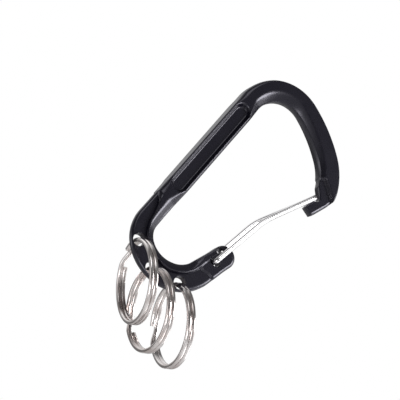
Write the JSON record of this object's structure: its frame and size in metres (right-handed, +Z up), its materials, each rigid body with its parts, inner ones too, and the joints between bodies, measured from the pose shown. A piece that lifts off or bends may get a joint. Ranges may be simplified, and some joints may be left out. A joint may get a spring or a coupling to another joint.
{
  "type": "carabiner keyring",
  "caption": "Small leaning D-shaped wire-gate carabiner with a grooved spine and a drilled flange that carries split rings for keys",
  "frame": {"origin": "the point it hangs by: the highest point of the bow's inner edge, halfway through the frame's thickness", "axes": "the frame's plane is XZ and its front face looks along -Y; +Z is up as it hangs, with the spine leaning 40.2 degrees towards +X and the gate below the nose on the +X side"},
  "size_m": [0.0672, 0.0283, 0.0886],
  "materials": {
    "frame": "black anodised, satin to glossy",
    "gate_wire": "polished stainless wire",
    "split_ring": "bright nickel plate"
  },
  "bodies": {
    "frame": {"frame": "frame"},
    "gate": {"wire_gate": "gate_wire"},
    "ring_1": {"split_ring_1": "split_ring"},
    "ring_2": {"split_ring_2": "split_ring"},
    "ring_3": {"split_ring_3": "split_ring"}
  },
  "joints": [
    {"name": "gate_pivot", "type": "hinge", "parent": "frame", "child": "gate", "pos_m": [-0.01993, 0, -0.04925], "axis": [0, -1, 0], "range_deg": [0, 30], "stiffness_Nm_per_rad": 0.1, "springref_deg": -11.46},
    {"name": "ring_1_swing", "type": "hinge", "parent": "frame", "child": "ring_1", "pos_m": [-0.04519, 0, -0.04694], "axis": [0.999, -0.0436, 0], "range_deg": [-15, 15]},
    {"name": "ring_2_swing", "type": "hinge", "parent": "frame", "child": "ring_2", "pos_m": [-0.04097, 0, -0.05481], "axis": [0.9981, 0.0611, 0], "range_deg": [-15, 15]},
    {"name": "ring_3_swing", "type": "hinge", "parent": "frame", "child": "ring_3", "pos_m": [-0.03221, 0, -0.05827], "axis": [1, 0, 0], "range_deg": [-31, 0]}
  ]
}
